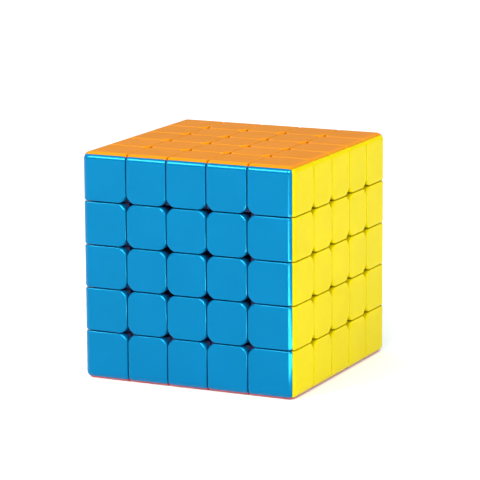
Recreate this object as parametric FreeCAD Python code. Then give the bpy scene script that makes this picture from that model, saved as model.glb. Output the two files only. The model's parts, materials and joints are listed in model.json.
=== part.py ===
import FreeCAD, Part
import itertools
import math
import os

# A five-layer twisty puzzle cube, in millimetres.
#
# The cube is modelled about its own centre, where all its turning axes cross, and every
# piece is moved up at the end, so the origin is the middle of the face it rests on.
# +X is the right face, +Y the back face and +Z the top face.
#
# A cell is a triple of layer numbers from -2 to 2. Its three sizes, 0, 1 and 2, stand for
# the middle, the inner and the outer layer. Every cell of one kind has the same shape, so
# each kind is built once, at its home cell, and turned into its other cells.

Vector = FreeCAD.Vector
CENTRE = Vector(0, 0, 0)
AXES = (0, 1, 2)
MIDDLE, INNER, OUTER = 0, 1, 2

# Outside of the cube
CUBE_SIZE = 62.0
INNER_CUT = 5.85            # from the centre to the cut between middle and inner layers
OUTER_CUT = 17.7            # from the centre to the cut between inner and outer layers
RUNNING_GAP = 0.3           # between pieces that slide on each other
CUBE_EDGE_ROUND = 1.6       # where two visible faces meet
TILE_CORNER_ROUND = 2.6     # corners of the coloured tiles, where four cells meet
TILE_RIM_ROUND = 0.5        # where a visible face turns into a gap

# Coloured shells on dark inner bodies
SHELL_WALL = 1.2
SHELL_DEPTH = 2.2           # how far a shell's side walls reach in from the visible face
SEAM = 0.05                 # between pieces that are fixed to each other
COLLAR_HEIGHT = 0.8         # the part of an inner body that enters its shells
COLLAR_WALL = 1.0

# Mechanism: stalks reach in from the cells, and feet at their ends hook under each other
STALK_KNEE = 28.0           # the outer cut is flat beyond this distance from its axis
STALK_SLOPE = 0.756         # and falls inward this steeply within it
STALK_END = 22.0            # distance from the centre where stalks end and feet begin
FOOT_CONE_ANGLE = 64.0      # half angle of the outer cut among the feet, in degrees
FOOT_HOOK = 1.5             # how far an inner-layer foot reaches under its neighbour
CORE_RADIUS = 17.7          # the ball that the feet slide on
CORE_WALL = 2.0

# Core cross, and the screw and spring that hold each face to it
ARM_RADIUS = 3.6
ARM_END = 17.3
ARM_CLEARANCE = 0.1
HUB_RADIUS = 6.0
SCREW_RADIUS = 1.3
SCREW_TIP = 9.0
SCREW_HEAD_RADIUS = 2.7
SCREW_HEAD_BASE = 24.0
SCREW_HEAD_HEIGHT = 1.6
RECESS_DEPTH = 0.9
RECESS_WIDTH = 0.6
RECESS_LENGTH = 2.8
THREAD_CLEARANCE = 0.05
PILOT_BOTTOM = 8.0
BORE_RADIUS = 3.1
BORE_FLOOR = 19.4
SHAFT_HOLE_RADIUS = 1.5
SPRING_RADIUS = 2.1         # to the middle of the wire
SPRING_WIRE_RADIUS = 0.25
SPRING_END_GAP = 0.08
SPRING_TURNS = 4
SPRING_POINTS_PER_TURN = 12

# Worked out from the above
HALF = CUBE_SIZE / 2
HALF_GAP = RUNNING_GAP / 2
FAR = CUBE_SIZE             # beyond every piece
NEARLY = 1e-3               # lengths that differ by less are the same
SMOOTH_TURN = 0.1           # sine of the largest angle that is not an edge
SHELL_END = HALF - SHELL_DEPTH
COLLAR_TOP = SHELL_END + COLLAR_HEIGHT
MITRE_GAP = SEAM * math.sqrt(2) / 2
FOOT_OUTER = STALK_END - HALF_GAP
FOOT_INNER = CORE_RADIUS + HALF_GAP
SPANS = {
    MIDDLE: (-INNER_CUT + HALF_GAP, INNER_CUT - HALF_GAP),
    INNER: (INNER_CUT + HALF_GAP, OUTER_CUT - HALF_GAP),
    OUTER: (OUTER_CUT + HALF_GAP, HALF),
}

HOME_CELLS = {
    "corner": (OUTER, OUTER, OUTER),
    "edge": (OUTER, OUTER, MIDDLE),
    "wing": (OUTER, OUTER, INNER),
    "fixed_centre": (MIDDLE, MIDDLE, OUTER),
    "t_centre": (INNER, MIDDLE, OUTER),
    "x_centre": (INNER, INNER, OUTER),
}
FACE_NAMES = {
    (2, 1): "up",
    (2, -1): "down",
    (1, -1): "front",
    (1, 1): "back",
    (0, 1): "right",
    (0, -1): "left",
}


# ---- plain solids

def box_between(low, high):
    """A box from its lowest corner to its highest."""
    size = [top - bottom for bottom, top in zip(low, high)]
    return Part.makeBox(*size, Vector(*low))


def cylinder(radius, low, high):
    """A cylinder on the Z axis between two heights."""
    return Part.makeCylinder(radius, high - low, Vector(0, 0, low))


def ball(radius):
    return Part.makeSphere(radius, CENTRE, Vector(0, 0, 1), -90, 90, 360)


def revolved(profile):
    """A solid turned about the Z axis from (distance from the axis, height) points."""
    points = [Vector(distance, 0, height) for distance, height in profile]
    outline = Part.makePolygon(points + points[:1])
    return Part.Face(outline).revolve(CENTRE, Vector(0, 0, 1), 360)


def laid_along(shape, axis):
    """A copy with its Z axis laid along another axis, by turning about the cube's diagonal."""
    copy = shape.copy()
    copy.rotate(CENTRE, Vector(1, 1, 1), 120 * (axis + 1))
    return copy


# ---- the cuts between layers, each one turned about the axis of its layers

def stalk_zone(layer):
    """Where the stalks and visible parts of one layer of the Z axis may be."""
    if layer == MIDDLE:
        reach = INNER_CUT - HALF_GAP
        return box_between((-FAR, -FAR, -reach), (FAR, FAR, reach))
    knee_shift = HALF_GAP * (math.hypot(1, STALK_SLOPE) - 1) / STALK_SLOPE
    if layer == OUTER:
        flat = OUTER_CUT + HALF_GAP
        knee = STALK_KNEE - knee_shift
        bottom = INNER_CUT
        start = knee - (flat - bottom) / STALK_SLOPE
        return revolved([(0, bottom), (start, bottom), (knee, flat), (FAR, flat), (FAR, FAR), (0, FAR)])
    flat = OUTER_CUT - HALF_GAP
    knee = STALK_KNEE + knee_shift
    bottom = INNER_CUT + HALF_GAP
    start = knee - (flat - bottom) / STALK_SLOPE
    return revolved([(start, bottom), (FAR, bottom), (FAR, flat), (knee, flat)])


def foot_zone(layer):
    """Where the feet of one layer of the Z axis may be."""
    hook_cut = INNER_CUT - FOOT_HOOK
    if layer == MIDDLE:
        reach = hook_cut - HALF_GAP
        return box_between((-FAR, -FAR, -reach), (FAR, FAR, reach))
    tangent = math.tan(math.radians(FOOT_CONE_ANGLE))
    lift = HALF_GAP / math.sin(math.radians(FOOT_CONE_ANGLE))
    if layer == OUTER:
        return revolved([(0, lift), (FAR * tangent, FAR + lift), (0, FAR + lift)])
    bottom = hook_cut + HALF_GAP
    start = (bottom + lift) * tangent
    return revolved([(start, bottom), (FAR * tangent, bottom), (FAR * tangent, FAR - lift)])


def within_cell(shape, cell, zone_of_layer):
    """The part of a shape that lies in the zones of a cell's three layers."""
    for axis in AXES:
        shape = shape.common(laid_along(zone_of_layer(cell[axis]), axis))
    return shape


# ---- rounded outer blocks

def edges_at(shape, fixed):
    """The edges that keep the given coordinates all along: {axis: value}."""
    found = []
    for edge in shape.Edges:
        box = edge.BoundBox
        lows = (box.XMin, box.YMin, box.ZMin)
        highs = (box.XMax, box.YMax, box.ZMax)
        on_line = [abs(lows[axis] - value) < NEARLY and abs(highs[axis] - value) < NEARLY
                   for axis, value in fixed.items()]
        if all(on_line) and not edge.Degenerated:
            found.append(edge)
    return found


def is_sharp(shape, edge):
    """True where the two faces at an edge meet at an angle."""
    faces = shape.ancestorsOfType(edge, Part.Face)
    if edge.Degenerated or len(faces) < 2:
        return False
    middle = edge.valueAt((edge.FirstParameter + edge.LastParameter) / 2)
    normals = [face.normalAt(*face.Surface.parameter(middle)) for face in faces[:2]]
    return normals[0].cross(normals[1]).Length > SMOOTH_TURN


def visible_axes(cell):
    return [axis for axis in AXES if cell[axis] == OUTER]


def rounded_block(cell):
    """The outer block of a cell, with the edges that can be seen rounded."""
    visible = visible_axes(cell)
    spans = [SPANS[layer] for layer in cell]
    if len(visible) == 1:
        spans[2] = (INNER_CUT, HALF)
    low, high = zip(*spans)
    block = box_between(low, high)

    tile_corners = []
    for along in visible:
        first, second = [axis for axis in AXES if axis != along]
        for at_first, at_second in itertools.product(spans[first], spans[second]):
            if HALF not in (at_first, at_second):
                tile_corners += edges_at(block, {first: at_first, second: at_second})
    block = block.makeFillet(TILE_CORNER_ROUND, tile_corners)

    cube_edges = []
    for first, second in itertools.combinations(visible, 2):
        cube_edges += edges_at(block, {first: HALF, second: HALF})
    if cube_edges:
        block = block.makeFillet(CUBE_EDGE_ROUND, cube_edges)

    rims = []
    for edge in block.Edges:
        highest = (edge.BoundBox.XMax, edge.BoundBox.YMax, edge.BoundBox.ZMax)
        near_surface = any(highest[axis] > HALF - CUBE_EDGE_ROUND - NEARLY for axis in visible)
        if near_surface and is_sharp(block, edge):
            rims.append(edge)
    return block.makeFillet(TILE_RIM_ROUND, rims)


# ---- coloured shells

def inset_block(cell, inset, top, floor=None):
    """A block inside a cell, inset from its gap sides and ending at a height under its faces."""
    low = [SPANS[layer][0] + inset for layer in cell]
    high = [top if layer == OUTER else SPANS[layer][1] - inset for layer in cell]
    if floor is not None:
        low = [floor if layer == OUTER else value for layer, value in zip(cell, low)]
    return box_between(low, high)


def facing_zone(cell, axis):
    """What lies nearer to one visible face of a cell than to its others, down to the shells' end."""
    low = [-FAR] * 3
    low[axis] = SHELL_END
    zone = box_between(low, [FAR] * 3)
    for other in visible_axes(cell):
        if other == axis:
            continue
        third = 3 - axis - other
        outline = []
        for along, across in ((0, -FAR), (FAR, -FAR), (FAR, FAR - MITRE_GAP), (0, -MITRE_GAP)):
            corner = [0, 0, 0]
            corner[axis] = along
            corner[other] = across
            corner[third] = -FAR
            outline.append(Vector(*corner))
        direction = [0, 0, 0]
        direction[third] = 2 * FAR
        wedge = Part.Face(Part.makePolygon(outline + outline[:1])).extrude(Vector(*direction))
        zone = zone.common(wedge)
    return zone


def coloured_shells(cell, outside):
    """One thin-walled shell for each visible face of a cell, mitred along the cube's edges."""
    floor = INNER_CUT if len(visible_axes(cell)) == 1 else None
    walls = outside.cut(inset_block(cell, SHELL_WALL, HALF - SHELL_WALL, floor))
    return [walls.common(facing_zone(cell, axis)) for axis in visible_axes(cell)]


# ---- dark inner bodies

def inner_body(cell, outside):
    """A cell's collar, block, stalk and foot in one piece."""
    is_centre = len(visible_axes(cell)) == 1
    block_top = SHELL_END - SEAM
    block_low = [0 if layer == OUTER else SPANS[layer][0] for layer in cell]
    block_high = [block_top if layer == OUTER else SPANS[layer][1] for layer in cell]
    block = box_between(block_low, block_high)
    if is_centre:
        block = block.common(outside)

    inset = SHELL_WALL + SEAM
    collar_floor = SHELL_END - COLLAR_HEIGHT if is_centre else None
    collar = inset_block(cell, inset, COLLAR_TOP, collar_floor)
    hollow_floor = SHELL_END if is_centre else None
    hollow = inset_block(cell, inset + COLLAR_WALL, HALF, hollow_floor)
    stalk = block.fuse(collar).cut(ball(STALK_END + HALF_GAP)).cut(hollow)
    stalk = within_cell(stalk, cell, stalk_zone)

    foot = within_cell(ball(FOOT_OUTER).cut(ball(FOOT_INNER)), cell, foot_zone)
    neck = ball(STALK_END + RUNNING_GAP).cut(ball(STALK_END - RUNNING_GAP))
    neck = within_cell(within_cell(neck, cell, stalk_zone), cell, foot_zone)
    return stalk.fuse([neck, foot]).removeSplitter()


def bored_for_screw(base):
    """A fixed centre's base with its bore for screw and spring."""
    bore = cylinder(BORE_RADIUS, BORE_FLOOR, HALF)
    shaft_hole = cylinder(SHAFT_HOLE_RADIUS, ARM_END, HALF)
    return base.cut(bore).cut(shaft_hole)


def build_kind(cell):
    """The shells and the inner body of one kind of cell, at its home cell."""
    outside = within_cell(rounded_block(cell), cell, stalk_zone)
    return coloured_shells(cell, outside), inner_body(cell, outside)


# ---- core, screws and springs

def core_cross():
    """Six arms on a hub, with a pilot hole for a screw in each."""
    arms = [laid_along(cylinder(ARM_RADIUS, -ARM_END, ARM_END), axis) for axis in AXES]
    cross = ball(HUB_RADIUS).fuse(arms)
    pilot = cylinder(SCREW_RADIUS + THREAD_CLEARANCE, PILOT_BOTTOM, HALF)
    for cell in face_cells():
        cross = cross.cut(moved_to(pilot, (0, 0, 1), cell))
    return cross


def core_ball_halves():
    """The two hollow halves of the ball that the feet slide on, fitted round the arms."""
    hollow_ball = ball(CORE_RADIUS).cut(ball(CORE_RADIUS - CORE_WALL))
    for axis in AXES:
        hole = cylinder(ARM_RADIUS + ARM_CLEARANCE, -HALF, HALF)
        hollow_ball = hollow_ball.cut(laid_along(hole, axis))
    upper = box_between((-HALF, -HALF, SEAM / 2), (HALF, HALF, HALF))
    lower = box_between((-HALF, -HALF, -HALF), (HALF, HALF, -SEAM / 2))
    return [hollow_ball.common(upper), hollow_ball.common(lower)]


def centre_screw():
    """A flanged screw with a cross recess, on the Z axis."""
    head_top = SCREW_HEAD_BASE + SCREW_HEAD_HEIGHT
    head = cylinder(SCREW_HEAD_RADIUS, SCREW_HEAD_BASE, head_top)
    head = head.makeFillet(SCREW_HEAD_HEIGHT / 2, edges_at(head, {2: head_top}))
    screw = cylinder(SCREW_RADIUS, SCREW_TIP, SCREW_HEAD_BASE).fuse(head)
    slot_half = (RECESS_LENGTH / 2, RECESS_WIDTH / 2)
    for half_x, half_y in (slot_half, slot_half[::-1]):
        low = (-half_x, -half_y, head_top - RECESS_DEPTH)
        screw = screw.cut(box_between(low, (half_x, half_y, HALF)))
    return screw


def centre_spring():
    """A coil spring between the floor of a centre's bore and its screw's head."""
    low = BORE_FLOOR + SPRING_WIRE_RADIUS + SPRING_END_GAP
    high = SCREW_HEAD_BASE - SPRING_WIRE_RADIUS - SPRING_END_GAP
    steps = SPRING_TURNS * SPRING_POINTS_PER_TURN
    points = []
    for step in range(steps + 1):
        angle = math.tau * step / SPRING_POINTS_PER_TURN
        height = low + (high - low) * step / steps
        points.append(Vector(SPRING_RADIUS * math.cos(angle), SPRING_RADIUS * math.sin(angle), height))
    coil = Part.BSplineCurve()
    coil.interpolate(points)
    start_direction = coil.tangent(coil.FirstParameter)[0]
    section = Part.Wire(Part.makeCircle(SPRING_WIRE_RADIUS, points[0], start_direction))
    return Part.Wire(coil.toShape()).makePipeShell([section], True, True)


# ---- turning a home cell's shapes into its other cells

def face_cells():
    return [tuple(sign * (axis == other) for other in AXES) for axis in AXES for sign in (1, -1)]


def rotations():
    """The 24 turns that carry a cube onto itself, as 3 by 3 matrices of rows."""
    for order in itertools.permutations(AXES):
        for signs in itertools.product((1, -1), repeat=3):
            rows = [[signs[row] * (order[row] == column) for column in AXES] for row in AXES]
            columns = [Vector(*column) for column in zip(*rows)]
            if columns[0].cross(columns[1]).dot(columns[2]) > 0:
                yield rows


def moved_to(shape, home, cell):
    """A copy of a shape, turned about the cube's centre from its home cell to another."""
    for rows in rotations():
        if tuple(sum(turn * start for turn, start in zip(row, home)) for row in rows) == tuple(cell):
            break
    values = [value for row in rows for value in (*row, 0)]
    return shape.transformed(FreeCAD.Matrix(*values, 0, 0, 0, 1), True)


def cells_of_kind(kind):
    """Every cell of a kind, as signed layer numbers."""
    layers = sorted(HOME_CELLS[kind])
    every = itertools.product(range(-OUTER, OUTER + 1), repeat=3)
    return [cell for cell in every if sorted(abs(number) for number in cell) == layers]


def faces_of(cell):
    """The names of the faces where a cell shows, as up_front_right."""
    names = [FACE_NAMES[axis, (cell[axis] > 0) - (cell[axis] < 0)]
             for axis in (2, 1, 0) if abs(cell[axis]) == OUTER]
    return "_".join(names)


def write_node(name, solids):
    """Write one node's solids, moved up so that the cube stands on the origin."""
    node = Part.makeCompound([solid for shape in solids for solid in shape.Solids])
    node.translate(Vector(0, 0, HALF))
    node.exportStep(os.path.join("parts", name + ".step"))


def write_cells(kind, prefix, shapes):
    """Write the cells of a kind, with the cells that show on the same faces in one node."""
    nodes = {}
    for cell in cells_of_kind(kind):
        copies = [moved_to(shape, HOME_CELLS[kind], cell) for shape in shapes]
        nodes.setdefault(prefix + "_" + faces_of(cell), []).extend(copies)
    for name, solids in nodes.items():
        write_node(name, solids)


os.makedirs("parts", exist_ok=True)

write_node("core_cross", [core_cross()])
write_node("core_ball_halves", core_ball_halves())
write_node("centre_screws", [moved_to(centre_screw(), (0, 0, 1), cell) for cell in face_cells()])
write_node("centre_springs", [moved_to(centre_spring(), (0, 0, 1), cell) for cell in face_cells()])

for kind in ("corner", "edge", "wing", "t_centre", "x_centre"):
    shells, body = build_kind(HOME_CELLS[kind])
    prefix = kind if kind in ("corner", "edge") else kind + "s"
    write_cells(kind, prefix, [*shells, body])

cap, base = build_kind(HOME_CELLS["fixed_centre"])
write_cells("fixed_centre", "centre_cap", cap)
write_cells("fixed_centre", "centre_base", [bored_for_screw(base)])
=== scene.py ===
import itertools
import json
import math

import bmesh
import bpy
from mathutils import Matrix, Vector


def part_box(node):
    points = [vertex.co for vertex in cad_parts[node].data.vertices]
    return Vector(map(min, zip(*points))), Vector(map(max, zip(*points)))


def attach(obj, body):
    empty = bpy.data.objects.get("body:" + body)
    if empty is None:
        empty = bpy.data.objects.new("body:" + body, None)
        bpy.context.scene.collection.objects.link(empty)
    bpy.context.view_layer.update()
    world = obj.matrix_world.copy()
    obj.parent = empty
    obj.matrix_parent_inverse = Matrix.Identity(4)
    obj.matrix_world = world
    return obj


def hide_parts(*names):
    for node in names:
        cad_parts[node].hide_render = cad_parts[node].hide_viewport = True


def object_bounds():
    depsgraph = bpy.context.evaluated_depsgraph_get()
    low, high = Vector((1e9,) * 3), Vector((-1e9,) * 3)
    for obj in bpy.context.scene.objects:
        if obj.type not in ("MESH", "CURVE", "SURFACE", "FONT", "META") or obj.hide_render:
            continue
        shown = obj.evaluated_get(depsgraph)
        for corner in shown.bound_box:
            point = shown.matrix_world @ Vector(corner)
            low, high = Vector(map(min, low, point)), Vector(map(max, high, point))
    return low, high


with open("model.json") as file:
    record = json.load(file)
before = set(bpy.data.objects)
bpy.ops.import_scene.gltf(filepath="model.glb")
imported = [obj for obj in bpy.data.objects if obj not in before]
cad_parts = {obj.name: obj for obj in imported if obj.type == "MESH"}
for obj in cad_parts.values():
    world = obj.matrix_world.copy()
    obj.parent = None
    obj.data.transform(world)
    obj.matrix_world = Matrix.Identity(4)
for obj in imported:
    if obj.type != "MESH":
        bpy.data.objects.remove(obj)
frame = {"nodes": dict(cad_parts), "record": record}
cad_low, cad_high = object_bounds()

# The look of a stickerless five-layer puzzle cube: glossy coloured shells on dark inner
# bodies. Lengths are in metres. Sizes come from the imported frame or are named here.
# A cell is a triple of layer numbers from -2 to 2, one for each axis.
# The cube's right is +X, its back is +Y and its top is +Z.

CENTRE = (cad_low + cad_high) / 2
HALF = (cad_high.z - cad_low.z) / 2
RUNNING_GAP = 0.0003
cap_low, cap_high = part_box("centre_cap_up")
INNER_CUT = cap_high.x + RUNNING_GAP / 2                       # between middle and inner layers
OUTER_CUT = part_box("x_centres_up")[1].x + RUNNING_GAP / 2      # between inner and outer layers
SHELL_DEPTH = cap_high.z - cap_low.z
OUTER = 2
TOUCHING = 0.0001           # nearer than this to a face of the cube is on it
WELD = 1e-6                 # vertices this close are one
SHARP_ANGLE = math.radians(35)

# The coloured shells
SHELL_WALL = 0.0012
CUBE_EDGE_ROUND = 0.0020    # where two faces of the cube meet
TILE_CORNER_ROUND = 0.0022  # corners of the tiles in the plane of the face, where four meet
SIDE_RIM = 0.0002           # rounding along a tile's straight sides
CORNER_RIM = 0.0007         # and round its corners
EDGE_RIM = 0.0005           # and where a gap runs over the edge of the cube
SEAM_RIM = 0.00004          # and along the seam between two shells of one cell
SEAM_HALF_GAP = 0.00002     # from the mitre between two shells to either of them
SEAM_LEDGE = 0.0002         # how far the roof of a shell's hollow stops short of the mitre
FLAT_INSET = 0.0022         # further in than this from the gaps, a tile is one flat face
ARC_STEPS = 12              # round a tile's corner
BEND_STEPS = 6              # over the cube's edge, and from the flat of a tile to its rim
RIM_STEPS = 6               # round a rim

# Each face: its axis, its side, its colour
FACES = {
    "up": (2, 1, "orange"),
    "down": (2, -1, "red"),
    "front": (1, -1, "blue"),
    "back": (1, 1, "green"),
    "right": (0, 1, "yellow"),
    "left": (0, -1, "white"),
}

# ---- camera

AZIMUTH = math.radians(25.42)
ELEVATION = math.radians(11.75)
ROLL = math.radians(-0.31)
DISTANCE = 24.79 * HALF
FOCAL_LENGTH = 210.9        # millimetres, on a 36 mm sensor
SHIFT = (0.0070, 0.0279)


def add_camera():
    back = Vector((math.sin(AZIMUTH) * math.cos(ELEVATION),
                   -math.cos(AZIMUTH) * math.cos(ELEVATION),
                   math.sin(ELEVATION)))
    camera = bpy.data.objects.new("camera", bpy.data.cameras.new("camera"))
    bpy.context.scene.collection.objects.link(camera)
    camera.location = CENTRE + back * DISTANCE
    aim = (-back).to_track_quat("-Z", "Y").to_matrix() @ Matrix.Rotation(ROLL, 3, "Z")
    camera.rotation_euler = aim.to_euler()
    camera.data.sensor_width = 36
    camera.data.lens = FOCAL_LENGTH
    camera.data.shift_x, camera.data.shift_y = SHIFT
    camera.data.clip_start = 0.01
    camera.data.clip_end = 20
    bpy.context.scene.camera = camera


add_camera()


# ---- materials

RUBBED_RIM = (0.0003, 0.0013)       # how far from a gap the rubbing starts to fade, and ends


class Nodes:
    """A short way to add and link the shader nodes of a material or of the world."""

    def __init__(self, owner, shader):
        owner.use_nodes = True
        self.owner = owner
        self.tree = owner.node_tree
        self.shader = self.tree.nodes[shader]

    @classmethod
    def of_material(cls, name):
        return cls(bpy.data.materials.new(name), "Principled BSDF")

    def add(self, kind, inputs=(), **settings):
        node = self.tree.nodes.new("ShaderNode" + kind)
        for key, value in settings.items():
            setattr(node, key, value)
        for key, value in dict(inputs).items():
            self.feed(node.inputs[key], value)
        return node

    def feed(self, socket, value):
        if isinstance(value, bpy.types.NodeSocket):
            self.tree.links.new(value, socket)
        else:
            socket.default_value = value

    def math(self, operation, *values):
        return self.add("Math", dict(enumerate(values)), operation=operation).outputs[0]

    def set(self, name, value):
        """Give an input of the shader a value or another node's output."""
        self.feed(self.shader.inputs[name], value)

    def noise(self, where, scale, detail=2.0):
        inputs = {"Vector": where, "Scale": scale, "Detail": detail}
        return self.add("TexNoise", inputs).outputs["Fac"]

    def span(self, value, low, high, to_low, to_high):
        limits = {"From Min": low, "From Max": high, "To Min": to_low, "To Max": to_high}
        return self.add("MapRange", {"Value": value, **limits}).outputs["Result"]

    def mix(self, share, first, second):
        node = self.add("Mix", {"Factor": share}, data_type="RGBA")
        self.feed(node.inputs["A"], first)
        self.feed(node.inputs["B"], second)
        return node.outputs["Result"]

    def bump(self, height, distance, strength, under=None):
        inputs = {"Height": height, "Distance": distance, "Strength": strength}
        if under is not None:
            inputs["Normal"] = under
        return self.add("Bump", inputs).outputs["Normal"]


def distance_to_gap(nodes, where):
    """How far a point is from the nearest cut between layers."""
    parts = nodes.add("SeparateXYZ", {"Vector": where}).outputs
    nearest = None
    for axis in range(3):
        offset = nodes.math("ABSOLUTE", nodes.math("SUBTRACT", parts[axis], CENTRE[axis]))
        for cut in (INNER_CUT, OUTER_CUT):
            distance = nodes.math("ABSOLUTE", nodes.math("SUBTRACT", offset, cut))
            nearest = distance if nearest is None else nodes.math("MINIMUM", nearest, distance)
    return nearest


def linear(red, green, blue):
    """A colour given as 0 to 255 screen values, in linear light."""
    levels = [value / 255 for value in (red, green, blue)]
    return [((level + 0.055) / 1.055) ** 2.4 if level > 0.04045 else level / 12.92 for level in levels]


def tinted(colour, factor):
    return (*[min(1.0, level * factor) for level in colour], 1.0)


def opaque(colour):
    return (*colour, 1.0)


def shell_plastic(name, colour, specular, tint):
    """Glossy moulded plastic with faint flow marks, an orange-peel surface and rims rubbed by fingers."""
    nodes = Nodes.of_material(name)
    where = nodes.add("TexCoord").outputs["Object"]
    flow = nodes.noise(where, 90.0, 3.0)
    speckle = nodes.noise(where, 2600.0, 1.0)
    peel = nodes.noise(where, 1100.0, 2.0)
    grain = nodes.noise(where, 9000.0, 1.0)
    rim = nodes.span(distance_to_gap(nodes, where), *RUBBED_RIM, 1.0, 0.0)

    flow_share = nodes.span(flow, 0.3, 0.7, 0.0, 1.0)
    toned = nodes.mix(flow_share, tinted(colour, 0.965), tinted(colour, 1.035))
    speckled = nodes.mix(nodes.span(speckle, 0.55, 0.8, 0.0, 0.12), toned, tinted(colour, 0.86))
    worn = nodes.mix(nodes.math("MULTIPLY", rim, 0.25), speckled, tinted(colour, 1.10))
    nodes.set("Base Color", worn)

    satin = nodes.span(flow, 0.25, 0.75, 0.15, 0.20)
    rubbed = nodes.math("SUBTRACT", satin, nodes.math("MULTIPLY", rim, 0.04))
    nodes.set("Roughness", rubbed)
    nodes.set("Normal", nodes.bump(grain, 0.000004, 0.35, nodes.bump(peel, 0.00002, 0.14)))
    nodes.set("IOR", 1.5)
    nodes.set("Specular IOR Level", specular)
    nodes.set("Specular Tint", opaque(tint))
    return nodes.owner


def dark_plastic():
    """Dark navy nylon of the inner bodies: matt, with moulding texture and rub marks where parts slide."""
    nodes = Nodes.of_material("dark_plastic")
    where = nodes.add("TexCoord").outputs["Object"]
    cloud = nodes.noise(where, 160.0, 3.0)
    texture = nodes.noise(where, 4200.0, 2.0)
    wave = {"Vector": where, "Scale": 260.0, "Distortion": 5.0, "Detail": 2.0}
    streak = nodes.add("TexWave", wave).outputs["Fac"]
    base = nodes.mix(cloud, opaque(linear(10, 14, 58)), opaque(linear(18, 24, 78)))
    streak_share = nodes.span(streak, 0.7, 1.0, 0.0, 0.3)
    nodes.set("Base Color", nodes.mix(streak_share, base, opaque(linear(34, 42, 92))))
    nodes.set("Roughness", nodes.span(cloud, 0.3, 0.7, 0.5, 0.65))
    nodes.set("Normal", nodes.bump(texture, 0.00001, 0.3))
    nodes.set("Specular IOR Level", 0.2)
    return nodes.owner


def steel(name, colour, low_roughness, high_roughness, scale):
    """Plated or drawn steel with fine marks along its surface."""
    nodes = Nodes.of_material(name)
    where = nodes.add("TexCoord").outputs["Object"]
    marks = nodes.noise(where, scale, 4.0)
    nodes.set("Base Color", nodes.mix(marks, tinted(colour, 0.8), tinted(colour, 1.1)))
    nodes.set("Roughness", nodes.span(marks, 0.3, 0.7, low_roughness, high_roughness))
    nodes.set("Normal", nodes.bump(marks, 0.000005, 0.5))
    nodes.set("Metallic", 1.0)
    return nodes.owner


# Each coloured plastic: its colour in linear light, how strong its gloss is, and the gloss's tint
SHELL_PLASTICS = {
    "blue": ((0.0, 0.099, 0.233), 0.5, (0.05, 0.75, 1.0)),
    "yellow": ((0.58, 0.477, 0.001), 0.03, (1.0, 1.0, 0.5)),
    "orange": ((0.58, 0.195, 0.001), 0.05, (1.0, 0.9, 0.5)),
    "green": ((0.01, 0.26, 0.04), 0.4, (0.6, 1.0, 0.7)),
    "white": ((0.46, 0.46, 0.445), 0.4, (1.0, 1.0, 1.0)),
    "red": ((0.42, 0.01, 0.015), 0.4, (1.0, 0.6, 0.6)),
}
PLASTICS = {colour: shell_plastic(colour + "_plastic", *look) for colour, look in SHELL_PLASTICS.items()}
DARK = dark_plastic()
SCREW_STEEL = steel("screw_steel", linear(196, 198, 204), 0.22, 0.38, 1800.0)
SPRING_STEEL = steel("spring_steel", linear(170, 172, 178), 0.25, 0.4, 3200.0)


# ---- shapes of the coloured shells

def layer_span(layer):
    """Where a layer begins and ends, measured outward from the cube's centre."""
    half_gap = RUNNING_GAP / 2
    spans = [(half_gap - INNER_CUT, INNER_CUT - half_gap),
             (INNER_CUT + half_gap, OUTER_CUT - half_gap),
             (OUTER_CUT + half_gap, HALF)]
    return spans[abs(layer)]


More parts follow.
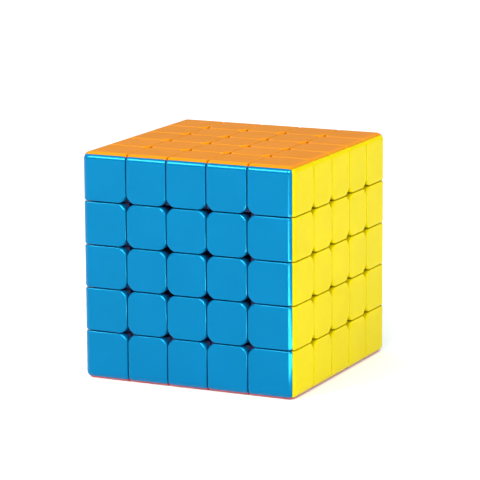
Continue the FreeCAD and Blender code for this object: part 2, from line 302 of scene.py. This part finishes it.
class Tile:
    """One coloured shell, on axes of its own: u and v lie in its face and w points outward.

    Its low ends in u and v are always gaps. A high end is a gap, or the seam along an edge of
    the cube, where the face bends over as far as the mitre with the next shell. Positions on
    the face are measured along the bent surface.
    """

    def __init__(self, layers):
        self.seams = [abs(layer) == OUTER for layer in layers]
        self.bend_start = HALF - CUBE_EDGE_ROUND
        self.bend_length = CUBE_EDGE_ROUND * math.pi / 4 - SEAM_HALF_GAP
        self.lows = [layer_span(layer)[0] for layer in layers]
        self.highs = [self.bend_start + self.bend_length if seam else layer_span(layer)[1]
                      for layer, seam in zip(layers, self.seams)]
        self.wall_end = HALF - SHELL_DEPTH
        self.roof = HALF - SHELL_WALL

    def corner(self, number, gap_offset, seam_offset):
        """The stations round one corner, counted from the low one: (u, v, rim radius)."""
        high = (number in (1, 2), number in (2, 3))
        inward = [-1 if side else 1 for side in high]
        limits = [self.highs[axis] if high[axis] else self.lows[axis] for axis in (0, 1)]
        on_seam = [high[axis] and self.seams[axis] for axis in (0, 1)]
        if any(on_seam):
            rim = SEAM_RIM if all(on_seam) else EDGE_RIM
            offsets = [seam_offset(SEAM_RIM) if seam else gap_offset(rim) for seam in on_seam]
            return [(*[limits[axis] + inward[axis] * offsets[axis] for axis in (0, 1)], rim)]
        stations = []
        for step in range(ARC_STEPS + 1):
            angle = math.pi / 2 * step / ARC_STEPS
            rim = SIDE_RIM + (CORNER_RIM - SIDE_RIM) * math.sin(2 * angle)
            reach = TILE_CORNER_ROUND - gap_offset(rim)
            u = limits[0] + inward[0] * (TILE_CORNER_ROUND - reach * math.cos(angle))
            v = limits[1] + inward[1] * (TILE_CORNER_ROUND - reach * math.sin(angle))
            stations.append((u, v, rim))
        return stations if number in (0, 2) else stations[::-1]

    def side(self, number, start, end):
        """The stations along one side, between the corners at its ends."""
        on_seam = (number == 1 and self.seams[0]) or (number == 2 and self.seams[1])
        bends_at_start = (number == 2 and self.seams[0]) or (number == 3 and self.seams[1])
        bends_at_end = (number == 0 and self.seams[0]) or (number == 1 and self.seams[1])
        axis = number % 2
        length = abs(self.highs[axis] - self.lows[axis])
        bends = [self.bend_length / length * step / BEND_STEPS for step in range(1, BEND_STEPS + 1)]
        places = []
        if bends_at_start:
            places += [(share, 1 - step / BEND_STEPS) for step, share in enumerate(bends, 1)]
        elif on_seam:
            places.append((2 * EDGE_RIM / length, 0))
        if bends_at_end:
            places += [(1 - share, 1 - step / BEND_STEPS) for step, share in enumerate(bends, 1)][::-1]
        elif on_seam:
            places.append((1 - 2 * EDGE_RIM / length, 0))
        stations = []
        for share, bent in places:
            u, v = [start[axis] + share * (end[axis] - start[axis]) for axis in (0, 1)]
            rim = SEAM_RIM if on_seam else SIDE_RIM + (EDGE_RIM - SIDE_RIM) * bent * bent
            stations.append((u, v, rim))
        return stations

    def ring(self, gap_offset, seam_offset):
        """The stations all round the tile, set in from its gaps and seams."""
        corners = [self.corner(number, gap_offset, seam_offset) for number in range(4)]
        stations = []
        for number in range(4):
            stations += corners[number]
            stations += self.side(number, corners[number][-1], corners[(number + 1) % 4][0])
        return stations

    def on_face(self, u, v, drop):
        """A point on the bent face, or this far under it."""
        slopes, base = [], []
        for place, seam in zip((u, v), self.seams):
            bend = max(0.0, (place - self.bend_start) / CUBE_EDGE_ROUND) if seam else 0.0
            slopes.append(math.tan(bend))
            base.append(min(place, self.bend_start) if seam else place)
        outward = Vector((*slopes, 1)).normalized()
        return Vector((*base, self.bend_start)) + outward * (CUBE_EDGE_ROUND - drop)

    def under(self, u, v, ledge=0.0):
        """The point on the wall's lower edge, or on the mitre, that lies under a place on the face."""
        bent = [max(0.0, (place - self.bend_start) / self.bend_length) if seam else 0.0
                for place, seam in zip((u, v), self.seams)]
        height = self.wall_end + max(bent) * (self.roof - self.wall_end)
        found = []
        for place, share, seam in zip((u, v), bent, self.seams):
            if seam:
                mitre = height - SEAM_HALF_GAP * math.sqrt(2)
                start = min(place, self.bend_start, mitre)
                place = min(start + share * (mitre - start), self.roof - ledge)
            found.append(place)
        return Vector((*found, height))

    def rings(self):
        """The shell's rings of points, from the flat of its face round its rim to its hollow's roof."""
        for step in range(BEND_STEPS + 1):
            share = 1 - step / BEND_STEPS
            stations = self.ring(lambda rim: rim + share * (FLAT_INSET - rim),
                                 lambda rim: rim + share * (self.bend_length - rim))
            yield [self.on_face(u, v, 0) for u, v, rim in stations]
        for step in range(1, RIM_STEPS + 1):
            turn = math.pi / 2 * step / RIM_STEPS
            share = 1 - math.sin(turn)
            stations = self.ring(lambda rim: rim * share, lambda rim: rim * share)
            yield [self.on_face(u, v, rim * (1 - math.cos(turn))) for u, v, rim in stations]
        yield [self.under(u, v) for u, v, rim in self.ring(lambda rim: 0, lambda rim: 0)]
        wall = self.ring(lambda rim: SHELL_WALL, lambda rim: 0)
        inner = [self.under(u, v, SEAM_LEDGE) for u, v, rim in wall]
        yield inner
        yield [Vector((point.x, point.y, self.roof)) for point in inner]


def tile_mesh(cell, face):
    """The closed mesh of the shell that a cell shows on a face, in its place on the cube."""
    outward, side, colour = FACES[face]
    across = [axis for axis in range(3) if axis != outward]
    tile = Tile([cell[axis] for axis in across])
    mesh = bmesh.new()
    rings = []
    for points in tile.rings():
        ring = []
        for point in points:
            place = CENTRE.copy()
            place[outward] += side * point.z
            for axis, distance in zip(across, point):
                place[axis] += distance * (-1 if cell[axis] < 0 else 1)
            ring.append(mesh.verts.new(place))
        rings.append(ring)
    for ring, following in zip(rings, rings[1:]):
        for count in range(len(ring)):
            mesh.faces.new((ring[count - 1], ring[count], following[count], following[count - 1]))
    mesh.faces.new(rings[0])
    mesh.faces.new(rings[-1])
    bmesh.ops.remove_doubles(mesh, verts=mesh.verts, dist=WELD)
    bmesh.ops.recalc_face_normals(mesh, faces=mesh.faces)
    return mesh


# ---- pieces

def add_piece(name, shape, material, node, body):
    """A mesh piece that stands for part of a node, smooth over its rounds and crisp at its edges."""
    mesh = bpy.data.meshes.new(name)
    shape.to_mesh(mesh)
    shape.free()
    mesh.polygons.foreach_set("use_smooth", [True] * len(mesh.polygons))
    mesh.set_sharp_from_angle(angle=SHARP_ANGLE)
    mesh.materials.append(material)
    piece = bpy.data.objects.new(name, mesh)
    bpy.context.scene.collection.objects.link(piece)
    weighted = piece.modifiers.new("weighted_normals", "WEIGHTED_NORMAL")
    weighted.keep_sharp = True
    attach(piece, body)
    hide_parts(node)


def visible_faces(cell):
    return [face for face, (axis, side, colour) in FACES.items() if cell[axis] == side * OUTER]


def node_of(cell):
    """The CAD node that a cell's shells are in."""
    kinds = {
        (0, 0, 2): "centre_cap",
        (0, 1, 2): "t_centres",
        (1, 1, 2): "x_centres",
        (0, 2, 2): "edge",
        (1, 2, 2): "wings",
        (2, 2, 2): "corner",
    }
    kind = kinds[tuple(sorted(abs(layer) for layer in cell))]
    return "_".join([kind, *visible_faces(cell)])


def add_shells(body_of):
    """The coloured shells of every cell."""
    counts = {}
    for cell in itertools.product(range(-OUTER, OUTER + 1), repeat=3):
        for face in visible_faces(cell):
            node = node_of(cell)
            name = node + ".shell_" + face
            counts[name] = counts.get(name, 0) + 1
            colour = FACES[face][2]
            add_piece(name + "_" + str(counts[name]), tile_mesh(cell, face),
                      PLASTICS[colour], node, body_of[node])


def separate_solids(node):
    """Each closed solid of a CAD node as a mesh of its own, welded along its edges."""
    whole = bmesh.new()
    whole.from_mesh(frame["nodes"][node].data)
    bmesh.ops.remove_doubles(whole, verts=whole.verts, dist=WELD)
    whole.verts.index_update()
    whole.faces.index_update()
    unseen = set(whole.faces)
    for first in whole.faces:
        if first not in unseen:
            continue
        unseen.remove(first)
        stack = [first]
        solid = []
        while stack:
            face = stack.pop()
            solid.append(face)
            neighbours = {other for edge in face.edges for other in edge.link_faces} & unseen
            unseen -= neighbours
            stack += neighbours
        yield copied(sorted(solid, key=lambda face: face.index))
    whole.free()


def copied(faces):
    """A new mesh of some faces of another."""
    part = bmesh.new()
    copies = {}
    for face in faces:
        corners = []
        for vertex in face.verts:
            if vertex.index not in copies:
                copies[vertex.index] = part.verts.new(vertex.co)
            corners.append(copies[vertex.index])
        part.faces.new(corners)
    return part


def reaches_a_face(solid):
    """True for a shell, and False for an inner body."""
    reach = max(abs(vertex.co[axis] - CENTRE[axis]) for vertex in solid.verts for axis in range(3))
    return reach > HALF - TOUCHING


def add_inner_bodies(node, body):
    """The dark inner bodies of a node's cells, as the CAD has them."""
    count = 0
    for solid in separate_solids(node):
        if reaches_a_face(solid):
            solid.free()
            continue
        count += 1
        add_piece(node + ".body_" + str(count), solid, DARK, node, body)


CAD_FINISHES = {
    "core_cross": DARK,
    "core_ball_halves": DARK,
    "centre_screws": SCREW_STEEL,
    "centre_springs": SPRING_STEEL,
}
bodies = frame["record"]["behaviour"]["bodies"]
body_of = {node: body for body, nodes in bodies.items() for node in nodes}
add_shells(body_of)
for node, body in body_of.items():
    if node in CAD_FINISHES:
        for material_slot in frame["nodes"][node].material_slots:
            material_slot.material = CAD_FINISHES[node]
    else:
        add_inner_bodies(node, body)


# ---- studio: a pale floor, a white surround and soft lights

FLOOR_REACH = 6.0
FLOOR_DROP = 0.00002        # so that the floor doesn't share a plane with the cube's underside
SOFTBOX_DISTANCE = 1.2
GLOW_ASIDE = 0.031          # from the cube's right face to the middle of the floor glow
GLOW_AHEAD = 0.02           # from the cube's front face to the near end of the floor glow
GLOW_LIFT = 0.0005


def add_floor():
    nodes = Nodes.of_material("pale_floor")
    where = nodes.add("TexCoord").outputs["Object"]
    cloud = nodes.noise(where, 3.0)
    nodes.set("Base Color", nodes.mix(cloud, opaque([0.93] * 3), opaque([0.95] * 3)))
    nodes.set("Roughness", 0.7)
    nodes.set("Specular IOR Level", 0.1)
    corners = [(-FLOOR_REACH, -FLOOR_REACH, 0), (FLOOR_REACH, -FLOOR_REACH, 0),
               (FLOOR_REACH, FLOOR_REACH, 0), (-FLOOR_REACH, FLOOR_REACH, 0)]
    mesh = bpy.data.meshes.new("floor")
    mesh.from_pydata(corners, [], [(0, 1, 2, 3)])
    mesh.materials.append(nodes.owner)
    floor = bpy.data.objects.new("floor", mesh)
    floor.location.z = cad_low.z - FLOOR_DROP
    bpy.context.scene.collection.objects.link(floor)


def add_surround():
    """A white surround: a thin bright band along the horizon, dim above it and bright overhead."""
    nodes = Nodes(bpy.data.worlds.new("surround"), "Background")
    direction = nodes.add("TexCoord").outputs["Generated"]
    height = nodes.add("SeparateXYZ", {"Vector": direction}).outputs["Z"]
    overhead = nodes.span(height, 0.2, 0.75, 0.16, 1.15)
    band = nodes.span(height, 0.06, 0.11, 1.0, 0.0)
    nodes.set("Color", opaque([1.0] * 3))
    nodes.set("Strength", nodes.math("MAXIMUM", overhead, band))
    bpy.context.scene.world = nodes.owner


def add_area_light(name, size, radiance, sheen_only=False):
    """A rectangular light. One for sheen only shows in gloss and doesn't light matt surfaces."""
    data = bpy.data.lights.new(name, "AREA")
    data.shape = "RECTANGLE"
    data.size, data.size_y = size
    data.energy = radiance * math.pi * size[0] * size[1]
    light = bpy.data.objects.new(name, data)
    light.visible_camera = False
    light.visible_diffuse = not sheen_only
    bpy.context.scene.collection.objects.link(light)
    return light


def add_softbox(name, azimuth, elevation, size, radiance, sheen_only=False):
    """A light aimed at the cube. Azimuth 0 is in front of it and 90 to its right."""
    turn, rise = math.radians(azimuth), math.radians(elevation)
    away = Vector((math.sin(turn) * math.cos(rise), -math.cos(turn) * math.cos(rise), math.sin(rise)))
    light = add_area_light(name, size, radiance, sheen_only)
    light.location = CENTRE + away * SOFTBOX_DISTANCE
    light.rotation_euler = (-away).to_track_quat("-Z", "Y").to_euler()


def add_floor_glow(size, radiance):
    """A light lying on the floor in front of the cube, whose sheen picks out its near upright edge."""
    light = add_area_light("floor_glow", size, radiance, sheen_only=True)
    light.location = (HALF + GLOW_ASIDE, -HALF - GLOW_AHEAD - size[1] / 2, cad_low.z + GLOW_LIFT)
    light.rotation_euler = (math.pi, 0, 0)


add_floor()
add_surround()
add_softbox("key_left", azimuth=-29, elevation=30, size=(0.42, 0.34), radiance=30)
add_softbox("arc_right", azimuth=15, elevation=33, size=(0.5, 0.5), radiance=38, sheen_only=True)
add_softbox("fill_front", azimuth=15, elevation=35, size=(0.7, 0.5), radiance=5)
add_softbox("fill_right", azimuth=75, elevation=25, size=(0.8, 0.8), radiance=4)
add_floor_glow(size=(0.056, 0.25), radiance=30)
bpy.context.scene.view_settings.view_transform = "Standard"
